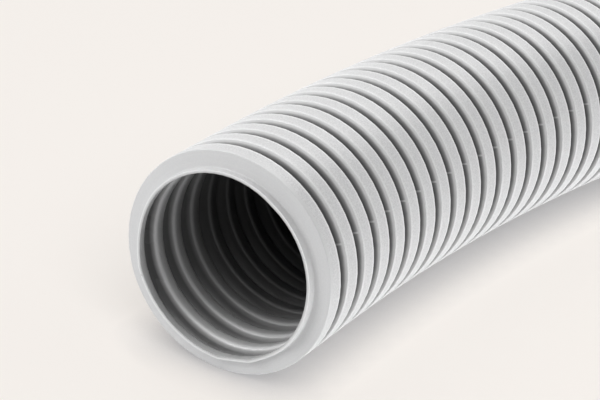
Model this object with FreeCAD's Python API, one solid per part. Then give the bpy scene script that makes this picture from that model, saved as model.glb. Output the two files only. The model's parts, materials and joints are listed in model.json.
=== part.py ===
import FreeCAD, Part
import math
import os

# A half-metre cut of corrugated PVC conduit, 50 mm outside, lying in its own gentle bend.
# Millimetres, +Z up. The origin is the centre of the near cut end. +X runs into the conduit
# there, and the bend turns towards -Y in the level plane, so the conduit lies on its crests.
# A station is a distance along the conduit's axis, counted from the near cut.

# Sizes of the conduit.
outsideDiameter = 50.0      # over the crests
waveDepth = 3.75            # crest to groove, on the outside
wallThickness = 0.7         # the same in crest, groove and flank
wavePitch = 7.0             # one crest to the next, along the axis
crestWidth = 4.1            # flank to flank, over the crest
flankLean = 0.55            # each flank leans so far between foot and crest, to leave its mould
soldLength = 500.0          # the cut is made in the last groove that this length reaches
endStub = 2.5               # from the cut to the first crest, at each end
bendRadius = 600.0          # of the conduit's axis, twelve diameters
straightWaves = 3           # crests at each end that stay in line, as far as a fitting holds them

# Worked out from the sizes.
grooveWidth = wavePitch - crestWidth
crestRadius = outsideDiameter / 2
grooveRadius = crestRadius - waveDepth
flankSlope = flankLean / waveDepth
waveCount = math.floor((soldLength - 2 * endStub + grooveWidth) / wavePitch)
cutLength = 2 * endStub + waveCount * wavePitch - grooveWidth
bendStart = endStub + straightWaves * wavePitch - grooveWidth / 2
bendEnd = cutLength - bendStart

origin = FreeCAD.Vector()
along = FreeCAD.Vector(1, 0, 0)
up = FreeCAD.Vector(0, 0, 1)
bendCentre = FreeCAD.Vector(bendStart, -bendRadius, 0)
bendArm = FreeCAD.Vector(0, bendRadius, 0)


def placeOf(station):
    """Where the conduit's axis is at a station, and how far it has turned there."""
    inBend = min(max(station, bendStart), bendEnd)
    turn = FreeCAD.Rotation(up, -math.degrees((inBend - bendStart) / bendRadius))
    arm = bendArm + along * (station - inBend)
    return FreeCAD.Placement(bendCentre + turn.multVec(arm), turn)


def circle(station, radius):
    """Circle about the axis and square to it, with its seam on the same side at every station."""
    edge = Part.Circle(origin, along, radius).toShape()
    edge.Placement = placeOf(station)
    return edge


def corners(inset):
    """Station and radius of each corner of the wall's section from cut to cut, on the skin that
    lies so far inside the outer one."""
    crest, groove = crestRadius - inset, grooveRadius - inset
    acrossFlank = inset * math.hypot(1, flankSlope)
    top = acrossFlank - inset * flankSlope
    foot = top - flankLean
    section = [(0, groove)]
    for wave in range(waveCount):
        start = endStub + wave * wavePitch
        end = start + crestWidth
        section += [(start + foot, groove), (start + top, crest)]
        section += [(end - top, crest), (end - foot, groove)]
    section.append((cutLength, groove))
    return sorted(section + [(bendStart, groove), (bendEnd, groove)])


def band(near, far):
    """Face of one skin between two corners: a cylinder where it runs straight along the axis,
    and otherwise the ruled face between two circles."""
    (start, radius), (end, farRadius) = near, far
    if radius == farRadius and (end <= bendStart or start >= bendEnd):
        return circle(*near).extrude(placeOf(start).Rotation.multVec(along) * (end - start))
    return Part.makeRuledSurface(circle(*near), circle(*far))


def skin(inset):
    """All faces of one skin."""
    section = corners(inset)
    return [band(near, far) for near, far in zip(section, section[1:])]


def cutFace(station):
    """The flat ring that the knife leaves of the groove's wall."""
    rims = [Part.Wire(circle(station, grooveRadius - inset)) for inset in (0, wallThickness)]
    return Part.makeFace(rims, "Part::FaceMakerBullseye")


def conduit():
    """One closed wall: the outer skin, the inner skin a wall's thickness in, and the two cuts."""
    wall = Part.Compound(skin(0) + skin(wallThickness) + [cutFace(0), cutFace(cutLength)])
    wall.sewShape()
    solid = Part.Solid(wall.Shells[0])
    if solid.Volume < 0:
        solid.reverse()
    return solid


os.makedirs("parts", exist_ok=True)
shape = conduit()
shape.exportStep("parts/conduit.step")
print("conduit", "valid", shape.isValid(), "volume", round(shape.Volume, 1), "faces", len(shape.Faces))
print("cut length", round(cutLength, 3), "waves", waveCount, "far end", placeOf(cutLength))
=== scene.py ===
import json
import math

import bpy
from mathutils import Matrix, Vector


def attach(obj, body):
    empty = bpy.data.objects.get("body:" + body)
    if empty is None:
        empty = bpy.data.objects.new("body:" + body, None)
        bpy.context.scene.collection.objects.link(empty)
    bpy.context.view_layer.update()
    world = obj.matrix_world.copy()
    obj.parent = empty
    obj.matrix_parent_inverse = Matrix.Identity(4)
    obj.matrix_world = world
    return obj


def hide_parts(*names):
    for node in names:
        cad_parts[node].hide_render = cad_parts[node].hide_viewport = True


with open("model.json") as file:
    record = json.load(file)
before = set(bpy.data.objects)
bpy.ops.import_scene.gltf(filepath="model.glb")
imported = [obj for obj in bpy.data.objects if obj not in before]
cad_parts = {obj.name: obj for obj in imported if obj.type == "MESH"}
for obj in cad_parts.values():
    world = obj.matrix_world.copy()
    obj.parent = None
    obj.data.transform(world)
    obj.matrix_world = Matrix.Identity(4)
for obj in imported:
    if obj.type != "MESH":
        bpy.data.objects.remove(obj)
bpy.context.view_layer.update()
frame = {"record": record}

mm = 0.001


# a socket of a node tree, for shader arithmetic
class Wire:
    def __init__(self, tree, socket=None):
        self.tree = tree
        self.socket = socket

    def node(self, kind, settings, sockets, output=0):
        made = self.tree.nodes.new(kind)
        for name, value in settings.items():
            setattr(made, name, value)
        for name, value in sockets.items():
            if isinstance(value, Wire):
                self.tree.links.new(value.socket, made.inputs[name])
            else:
                made.inputs[name].default_value = value
        return Wire(self.tree, made.outputs[output])

    def maths(self, operation, first, second=0.0):
        return self.node("ShaderNodeMath", {"operation": operation}, {0: first, 1: second})

    def ramp(self, value, low, high):
        return self.node("ShaderNodeMapRange", {}, {0: value, 1: low, 2: high})

    def blend(self, share, colour, other):
        return self.node("ShaderNodeMix", {"data_type": "RGBA"}, {0: share, 6: colour, 7: other}, 2)

    def __add__(self, other):
        return self.maths("ADD", self, other)

    def __radd__(self, other):
        return self.maths("ADD", other, self)

    def __sub__(self, other):
        return self.maths("SUBTRACT", self, other)

    def __rsub__(self, other):
        return self.maths("SUBTRACT", other, self)

    def __mul__(self, other):
        return self.maths("MULTIPLY", self, other)

    def __rmul__(self, other):
        return self.maths("MULTIPLY", other, self)

    def feed(self, shader, name):
        self.tree.links.new(self.socket, shader.inputs[name])


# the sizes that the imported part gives
mounts = {mount["name"]: mount for mount in frame["record"]["mounts"]}
crestRadius = mounts["near_spigot"]["dims"]["r_mm"]
boreRadius = mounts["near_bore"]["dims"]["r_mm"]
straight = mounts["near_bore"]["dims"]["length_mm"]     # at each end, before the bend
farEnd = mounts["far_bore"]["pos_m"]
farHeading = mounts["far_bore"]["axis"]

# and the wall's own form, in mm
wall = {
    "thickness": 0.7,
    "pitch": 7.0,
    "crestWidth": 4.1,
    "lean": 0.55,               # of each flank, from foot to crest
    "endStub": 2.5,             # from the cut to the first crest
    "edge": 0.3,                # rounding of a crest's edges
    "root": 0.4,                # fillet at the foot of a flank
    "ridge": 0.9,               # rounding of the ridges in the bore
    "closeWaves": 24,           # waves that the picture shows close up
    "closeSteps": (2, 4, 3),    # steps in their fillets, their near edges and their far edges
    "otherSteps": (1, 3, 2),    # and in those of the other waves
    "mouthWaves": 10,           # waves at each end whose ridges can be seen, and are rounded
    "ridgeSteps": 4,
}
columns = {
    "even": 60,
    "room": 2.3,                    # degrees kept free of even columns beside one of the others
    "partingAt": (155.0, -25.0),    # degrees round from +Y over the top, where the mould's halves meet
    "partingHalf": 0.4,             # mm, half the width of the line they leave
    "partingHeight": 0.3,
    "partingFaint": 0.06,           # on the first flank and in the bore
    "partingDepth": 0.6,            # share of the groove's depth at which the line's painted shade is taken, so the raised line shows lighter
    "sameAngle": 0.01,              # degrees
}

turn = math.atan2(-farHeading[1], farHeading[0])
bendRadius = (farEnd[0] / mm - straight * (1 + farHeading[0])) / math.sin(turn)
bendEnd = straight + bendRadius * turn
length = bendEnd + straight
grooveRadius = boreRadius + wall["thickness"]
waves = round((length - 2 * wall["endStub"] - wall["crestWidth"]) / wall["pitch"]) + 1
print("conduit of", waves, "waves,", round(length, 2), "mm, bent to", round(bendRadius, 1), "mm")


def axisAt(station):    # point of the axis, in mm, and the level direction square to it
    inBend = min(max(station, straight), bendEnd)
    angle = (inBend - straight) / bendRadius
    ahead = Vector((math.cos(angle), -math.sin(angle), 0))
    side = Vector((math.sin(angle), math.cos(angle), 0))
    return Vector((straight, -bendRadius, 0)) + side * bendRadius + ahead * (station - inBend), side


# a corner is its station, its radius, the size of its rounding, the steps of that, and its skin
outside, inside = 0, 1


def outerCorners(wave):
    start = wall["endStub"] + wave * wall["pitch"]
    end = start + wall["crestWidth"]
    rootSteps, nearSteps, farSteps = wall["closeSteps" if wave < wall["closeWaves"] else "otherSteps"]
    return [(start - wall["lean"], grooveRadius, wall["root"], rootSteps, outside),
            (start, crestRadius, wall["edge"], nearSteps, outside),
            (end, crestRadius, wall["edge"], farSteps, outside),
            (end + wall["lean"], grooveRadius, wall["root"], rootSteps, outside)]


def innerCorners(wave):
    slope = wall["lean"] / (crestRadius - grooveRadius)
    top = wall["thickness"] * (math.hypot(1, slope) - slope)
    foot = top - wall["lean"]
    start = wall["endStub"] + wave * wall["pitch"]
    end = start + wall["crestWidth"]
    pocket = crestRadius - wall["thickness"]
    seen = min(wave, waves - 1 - wave) < wall["mouthWaves"]
    steps = wall["ridgeSteps"] if seen else 0
    return [(start + foot, boreRadius, wall["ridge"], steps, inside), (start + top, pocket, 0, 0, inside),
            (end - top, pocket, 0, 0, inside), (end - foot, boreRadius, wall["ridge"], steps, inside)]


def rounded(corners):    # the closed line through the corners, with its arcs
    points = []
    for index, (station, radius, size, steps, skin) in enumerate(corners):
        here = Vector((station, radius))
        into = (here - Vector(corners[index - 1][:2])).normalized()
        after = (Vector(corners[(index + 1) % len(corners)][:2]) - here).normalized()
        if steps == 0:
            points.append((here.x, here.y, skin))
            continue
        angle = math.atan2(into.x * after.y - into.y * after.x, into.dot(after))
        start = here - into * size * math.tan(abs(angle) / 2)
        spoke = Vector((into.y, -into.x)) * math.copysign(size, angle)    # from the arc's centre to start
        for step in range(steps + 1):
            x, y = start - spoke + Matrix.Rotation(angle * step / steps, 2) @ spoke
            points.append((x, y, skin))
    return points


def section():    # out along the outer skin and back along the inner one
    outer = [corner for wave in range(waves) for corner in outerCorners(wave)]
    inner = [corner for wave in range(waves) for corner in innerCorners(wave)]
    nearRims = [(0, grooveRadius, 0, 0, outside), (0, boreRadius, 0, 0, inside)]
    farRims = [(length, grooveRadius, 0, 0, outside), (length, boreRadius, 0, 0, inside)]
    return rounded(nearRims[:1] + outer + farRims + inner[::-1] + nearRims[1:])


# the near end was cut by hand in a few strokes: where each starts and ends, in degrees round, and how
# far its middle digs in, in mm
knifeStrokes = [(-150, -116, 0.9), (-116, -95, 0.6), (-95, -20, 0.4),
                (-20, 34, 0.6), (34, 120, 0.5), (120, 210, 0.3)]


def cutAway(degrees):
    firstStart = knifeStrokes[0][0]
    degrees = (degrees - firstStart) % 360 + firstStart
    for first, last, dig in knifeStrokes:
        if first <= degrees <= last:
            share = (degrees - first) / (last - first)
            return 4 * dig * share * (1 - share)    # nothing at a stroke's ends


def apart(degrees, other):
    return abs((degrees - other + 180) % 360 - 180)


def columnAngles():
    half = math.degrees(columns["partingHalf"] / grooveRadius)
    special = [line + shift * half for line in columns["partingAt"] for shift in (-1, 0, 1)]
    special += [first for first, last, dig in knifeStrokes]
    even = [360 * column / columns["even"] for column in range(columns["even"])]
    free = [angle for angle in even if all(apart(angle, other) > columns["room"] for other in special)]
    return sorted(angle % 360 for angle in free + special)


def partingHeight(station, radius, skin):
    if radius > crestRadius - wall["thickness"] / 2:
        return 0
    firstFlank = wall["endStub"] + wall["crestWidth"] / 2
    return columns["partingFaint"] if skin == inside or station < firstFlank else columns["partingHeight"]


def buildConduit():
    profile = section()
    angles = columnAngles()
    waveDepth = crestRadius - grooveRadius
    verts, stations, depths = [], [], []
    for index, (station, radius, skin) in enumerate(profile):
        before, after = profile[index - 1], profile[(index + 1) % len(profile)]
        slope = Vector((after[0] - before[0], after[1] - before[1])).normalized()
        height = partingHeight(station, radius, skin)
        depth = (crestRadius - radius if skin == outside else radius - boreRadius) / waveDepth
        for degrees in angles:
            onLine = any(apart(degrees, line) < columns["sameAngle"] for line in columns["partingAt"])
            raised = height if onLine else 0
            along = station - slope.y * raised + (cutAway(degrees) if station == 0 else 0)
            away = radius + slope.x * raised
            centre, out = axisAt(along)
            angle = math.radians(degrees)
            upward = Vector((0, 0, away * math.sin(angle)))
            verts.append((centre + out * away * math.cos(angle) + upward) * mm)
            stations.append(along)
            # on the outer skin the raised line gets less of the grooves' painted shade
            depths.append(depth * (columns["partingDepth"] if raised and skin == outside else 1))
    faces, skins, cuts = [], [], []
    for row, (station, radius, skin) in enumerate(profile):
        nextRow = (row + 1) % len(profile)
        for column in range(len(angles)):
            nextColumn = (column + 1) % len(angles)
            faces.append([line * len(angles) + place for line, place in
                          ((row, column), (row, nextColumn), (nextRow, nextColumn), (nextRow, column))])
            skins.append(float(skin))
            cuts.append(float(skin != profile[nextRow][2]))
    mesh = bpy.data.meshes.new("conduit_wall")
    mesh.from_pydata(verts, [], faces)
    for name, domain, values in (("station", "POINT", stations), ("depth", "POINT", depths),
                                 ("inside", "FACE", skins), ("cut", "FACE", cuts)):
        mesh.attributes.new(name, "FLOAT", domain).data.foreach_set("value", values)
    mesh.shade_smooth()
    for edge in mesh.edges:    # only the rims of the near cut are sharp
        row, otherRow = (corner // len(angles) for corner in edge.vertices)
        edge.use_edge_sharp = row == otherRow and profile[row][0] == 0
    piece = bpy.data.objects.new("conduit_wall", mesh)
    bpy.context.scene.collection.objects.link(piece)
    piece.modifiers.new("flatFacesStayFlat", "WEIGHTED_NORMAL").keep_sharp = True
    print("conduit_wall", len(verts), "points,", 2 * len(faces), "triangles")
    return piece


# light grey PVC as it leaves the ring moulds; its colour also carries painted highlights on the crests' edges
# and the cut face, and painted shade in the grooves and the bore
pvc = {
    "colour": (0.52, 0.52, 0.523, 1),
    "paler": (0.71, 0.71, 0.713, 1),
    "mottling": (0.15, 0.55, 0.30),    # shares of clouds, speckle and turning lines in how pale it is
    "clouds": (70.0, 3.0),             # scale per metre, and detail
    "grain": (2900.0, 2.0),
    "turning": (9.0, 2.0),             # the mould's lathe lines, whose scale is per mm of the conduit
    "speckles": (0.36, 0.64),          # the grain's range that shows in the colour
    "flankSpeckle": 0.2,               # share of it on the smoother first flank
    "smoothPast": 1.0,                 # mm of the first crest that are as smooth
    # painted highlight along the edges of each crest, where light catches them
    "rubbedColour": (0.80, 0.80, 0.80, 1),
    "rubbedWidth": 0.5,                # mm, along the edges of each crest
    "rubbedNear": 0.5,                 # share of it on the near edge, where the painted highlight is weaker
    "palestAt": 0.1,                   # mm, where the painted highlight on that edge is brightest
    # painted shade down in each groove, where the crests shut the light out
    "grooveColour": (0.14, 0.14, 0.141, 1),
    "grooveDulls": (0.13, 0.26, 0.43), # of its depth, where a groove's painted shade starts, is mostly full and is full
    "mostlyDull": 0.7,                 # how dark the painted shade is at the second of them
    "pocketDulls": (0.10, 0.45),       # the same start and end of the painted shade in a pocket behind a crest, in the bore
    "pocketDull": 0.85,
    "ridgeDull": 0.5,                  # painted shade on the far side of a ridge
    # the bore near its ends is painted paler than the outer skin, as painted light; deep in, painted shade
    "mouthColour": (0.78, 0.78, 0.783, 1),
    "deepColour": (0.075, 0.075, 0.0755, 1),
    "dullReach": (3.0, 28.0),          # mm from an end, where the bore's painted shade starts and is darkest
    # the knife-cut face: painted light at its outer rim, fading to painted shade at the bore
    "cutColour": (0.84, 0.84, 0.84, 1),
    "innerCutColour": (0.42, 0.42, 0.421, 1),
    "roughness": 0.36,
    "cloudyRoughness": 0.12,           # how much the clouds change it
    "boreRoughness": 0.24,
    "deepRoughness": 0.27,             # more than that, deep in the bore
    "relief": (0.6, 0.4),              # shares of turning lines and grain
    "reliefStrength": 0.25,
    "reliefDepth": 0.03,               # mm
}


def greyPvc():
    material = bpy.data.materials.new("greyPvc")
    material.use_nodes = True
    bench = Wire(material.node_tree)
    shader = material.node_tree.nodes["Principled BSDF"]
    where = bench.node("ShaderNodeTexCoord", {}, {}, "Object")
    station, depth, inBore, cut = (bench.node("ShaderNodeAttribute", {"attribute_name": name}, {}, "Fac")
                                   for name in ("station", "depth", "inside", "cut"))
    clouds, grain = (bench.node("ShaderNodeTexNoise", {}, {"Vector": where, "Scale": scale, "Detail": detail})
                     for scale, detail in (pvc["clouds"], pvc["grain"]))
    lineScale, lineDetail = pvc["turning"]
    turning = bench.node("ShaderNodeTexNoise", {"noise_dimensions": "1D"},
                         {"W": station, "Scale": lineScale, "Detail": lineDetail})

    # where a point lies: from the nearer end, into its wave, and past the first flank
    fromEnd = bench.maths("MINIMUM", station, length - station)
    intoWave = bench.maths("FLOORED_MODULO", station - wall["endStub"], wall["pitch"])
    pastStub = bench.maths("GREATER_THAN", fromEnd, wall["endStub"] + pvc["smoothPast"])

    # the outer skin, with painted highlights along the crests' edges and painted shade in the grooves
    edgeStart = wall["crestWidth"] - wall["edge"]
    farHighlight = bench.ramp(intoWave, edgeStart - pvc["rubbedWidth"], edgeStart)
    nearHighlight = bench.ramp(intoWave, pvc["rubbedWidth"] + wall["edge"], pvc["palestAt"])
    edgeHighlight = pastStub * bench.maths("MAXIMUM", farHighlight, pvc["rubbedNear"] * nearHighlight)
    # painted shade, darker deeper in the grooves past the first flank
    shadeStart, shadeMostly, shadeFull = pvc["grooveDulls"]
    grooveShade = pastStub * (pvc["mostlyDull"] * bench.ramp(depth, shadeStart, shadeMostly)
                         + (1 - pvc["mostlyDull"]) * bench.ramp(depth, shadeMostly, shadeFull))
    speckleShows = pvc["flankSpeckle"] + (1 - pvc["flankSpeckle"]) * pastStub
    speckle = 0.5 + (bench.ramp(grain, *pvc["speckles"]) - 0.5) * speckleShows
    cloudShare, speckleShare, lineShare = pvc["mottling"]
    mottling = cloudShare * clouds + speckleShare * speckle + lineShare * turning
    crest = bench.blend(edgeHighlight, bench.blend(mottling, pvc["colour"], pvc["paler"]), pvc["rubbedColour"])
    outer = bench.blend(grooveShade, crest, pvc["grooveColour"])

    # the bore, with painted light near its ends and painted shade deep in it, in its pockets and behind its
    # ridges
    pocket = pvc["pocketDull"] * bench.ramp(depth, *pvc["pocketDulls"])
    ridge = pvc["ridgeDull"] * bench.ramp(intoWave, wall["crestWidth"], wall["pitch"])
    deep = bench.ramp(fromEnd, *pvc["dullReach"])
    boreLitShare = (1 - deep) * (1 - bench.maths("MAXIMUM", pocket, ridge))
    inner = bench.blend(boreLitShare, pvc["deepColour"], pvc["mouthColour"])

    # painted light across the cut face, darker towards the bore
    litCutFace = bench.blend(depth, pvc["innerCutColour"], pvc["cutColour"])
    colour = bench.blend(cut, bench.blend(inBore, outer, inner), litCutFace)
    colour.feed(shader, "Base Color")
    boreRough = pvc["boreRoughness"] + pvc["deepRoughness"] * deep
    skinRough = pvc["roughness"] + inBore * (boreRough - pvc["roughness"])
    rough = skinRough + pvc["cloudyRoughness"] * (clouds - 0.5)
    rough.feed(shader, "Roughness")
    lineRelief, grainRelief = pvc["relief"]
    bump = bench.node("ShaderNodeBump", {}, {"Height": lineRelief * turning + grainRelief * grain,
                                             "Strength": pvc["reliefStrength"],
                                             "Distance": pvc["reliefDepth"] * mm})
    bump.feed(shader, "Normal")
    return material


conduit = buildConduit()
conduit.data.materials.append(greyPvc())
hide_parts("conduit")
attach(conduit, "root")
print("conduit dressed")


# the table, and what lies past it
studio = {
    "floorColour": (0.92, 0.88, 0.84, 1),      # as the camera sees it
    "bounceColour": (0.88, 0.88, 0.88, 1),     # and as it lights the conduit
    "floorRoughness": 0.9,
    "floorSheen": 0.1,
    "floorReach": 6.0,                         # metres
    "nookColour": (0.45, 0.45, 0.465, 1),      # painted contact shadow, where the conduit closes the floor in
    "nookReach": 0.0112,                       # metres, how far the painted shadow reaches
    "nookSamples": 12,
    "whiteOut": 0.70,                          # how far the picture's white level swallows the shadow
    "whiteColour": (0.913, 0.871, 0.831, 1),
    "glossColour": (0.50, 0.50, 0.50, 1),      # of the room, as the conduit's gloss finds it
    "fillColour": (1.0, 0.99, 0.975, 1),
    "fillLevel": 0.02,
}


def buildFloor():
    level = -crestRadius * mm
    reach = studio["floorReach"]
    mesh = bpy.data.meshes.new("floor")
    corners = [(-reach, -reach, level), (reach, -reach, level), (reach, reach, level), (-reach, reach, level)]
    mesh.from_pydata(corners, [], [(0, 1, 2, 3)])
    floor = bpy.data.objects.new("floor", mesh)
    bpy.context.scene.collection.objects.link(floor)
    material = bpy.data.materials.new("paleFloor")
    material.use_nodes = True
    bench = Wire(material.node_tree)
    shader = material.node_tree.nodes["Principled BSDF"]
    shader.inputs["Roughness"].default_value = studio["floorRoughness"]
    shader.inputs["Specular IOR Level"].default_value = studio["floorSheen"]
    seen = bench.node("ShaderNodeLightPath", {}, {}, "Is Camera Ray")
    # a painted contact shadow round the conduit, from how closed in the floor is; only the camera sees it
    unshadedShare = bench.node("ShaderNodeAmbientOcclusion", {"samples": studio["nookSamples"]},
                          {"Distance": studio["nookReach"]}, "AO")
    floorColour = bench.blend(unshadedShare, studio["nookColour"], studio["floorColour"])
    bench.blend(seen, studio["bounceColour"], floorColour).feed(shader, "Base Color")
    whiteColour = bench.blend(unshadedShare, studio["nookColour"], studio["whiteColour"])
    white = bench.node("ShaderNodeBsdfPrincipled", {},
                       {"Base Color": (0, 0, 0, 1), "Specular IOR Level": 0.0,
                        "Emission Color": whiteColour, "Emission Strength": 1.0})
    both = bench.node("ShaderNodeMixShader", {}, {0: studio["whiteOut"] * seen,
                                                  1: Wire(bench.tree, shader.outputs[0]), 2: white})
    both.feed(material.node_tree.nodes["Material Output"], "Surface")
    mesh.materials.append(material)
    return floor


def lightWorld():
    world = bpy.data.worlds.new("studioWorld")
    bpy.context.scene.world = world
    world.use_nodes = True
    bench = Wire(world.node_tree)
    output = next(node for node in world.node_tree.nodes if node.type == "OUTPUT_WORLD")
    seen, glossy, through = (bench.node("ShaderNodeLightPath", {}, {}, kind)
                             for kind in ("Is Camera Ray", "Is Glossy Ray", "Is Transmission Ray"))
    fill, gloss, far = (bench.node("ShaderNodeBackground", {}, {"Color": studio[colour], "Strength": level})
                        for colour, level in (("fillColour", studio["fillLevel"]), ("glossColour", 1.0),
                                              ("whiteColour", 1.0)))
    lit = bench.node("ShaderNodeMixShader", {}, {0: glossy, 1: fill, 2: gloss})
    white = bench.maths("MINIMUM", seen + through, 1.0)
    bench.node("ShaderNodeMixShader", {}, {0: white, 1: lit, 2: far}).feed(output, "Surface")


# large soft lamps: the heading they stand at, their height above the floor and their spread, in degrees,
# and their level. As in the photograph, the table has its own light and the conduit has its own. Its
# tableGlow, from below on the far side, stands for what the pale table throws back.
tableLamps = {
    "tableFrontRight": (-140.0, 50.0, 50.0, 0.77),
    "tableRightBack": (-60.0, 50.0, 50.0, 0.16),
    "tableLeftTop": (70.0, 55.0, 45.0, 0.29),
}
conduitLamps = {
    "leftLow": (90.0, 12.0, 40.0, 0.12),
    "leftTop": (60.0, 60.0, 40.0, 0.30),
    "backTop": (0.0, 55.0, 40.0, 0.43),
    "tableGlow": (-82.0, -30.0, 30.0, 0.70),
    "frontLeftTop": (152.0, 55.0, 40.0, 0.29),
    "frontLeftLow": (140.0, 24.0, 30.0, 0.39),
    "frontRightTop": (-162.0, 46.0, 30.0, 0.15),
}


def lightLamps(lamps, lit, blockers):
    group = bpy.data.collections.new(lit.name + "Lit")
    group.objects.link(lit)
    for name, (heading, height, spread, level) in lamps.items():
        lamp = bpy.data.lights.new(name, "SUN")
        lamp.energy = level * math.pi
        lamp.angle = math.radians(spread)
        holder = bpy.data.objects.new(name, lamp)
        bpy.context.scene.collection.objects.link(holder)
        holder.light_linking.receiver_collection = group
        holder.light_linking.blocker_collection = blockers
        heading, height = math.radians(heading), math.radians(height)
        towards = Vector((math.cos(heading) * math.cos(height), math.sin(heading) * math.cos(height),
                          math.sin(height)))
        holder.rotation_euler = towards.to_track_quat("Z", "Y").to_euler()


# the photograph's own view
view = {
    "aim": (39.26, 4.21, 0.0),  # mm, where the middle of the picture falls on the conduit's level
    "distance": 459.74,         # mm
    "heading": 27.665,          # degrees, from +X towards +Y
    "down": 25.955,
    "roll": 7.491,
    "lens": 123.85,             # mm, on a sensor of the next width
    "sensor": 36,
    "nearest": 10.0,            # mm in front of the camera
}


def setCamera():
    heading, down, roll = (math.radians(view[name]) for name in ("heading", "down", "roll"))
    forward = Vector((math.cos(down) * math.cos(heading), math.cos(down) * math.sin(heading),
                      -math.sin(down)))
    level = Vector((math.sin(heading), -math.cos(heading), 0))
    above = level.cross(forward)
    right = level * math.cos(roll) + above * math.sin(roll)
    upward = right.cross(forward)
    camera = bpy.data.objects.new("camera", bpy.data.cameras.new("camera"))
    bpy.context.scene.collection.objects.link(camera)
    turned = Matrix((right, upward, -forward)).transposed().to_4x4()
    place = Vector(view["aim"]) - forward * view["distance"]
    camera.matrix_world = Matrix.Translation(place * mm) @ turned
    camera.data.lens = view["lens"]
    camera.data.sensor_width = view["sensor"]
    camera.data.clip_start = view["nearest"] * mm
    bpy.context.scene.camera = camera


floor = buildFloor()
lightWorld()
blockers = bpy.data.collections.new("blockers")
blockers.objects.link(conduit)
lightLamps(tableLamps, floor, blockers)
lightLamps(conduitLamps, conduit, blockers)
setCamera()
bpy.context.scene.view_settings.view_transform = "Standard"
print("floor, light and camera set")
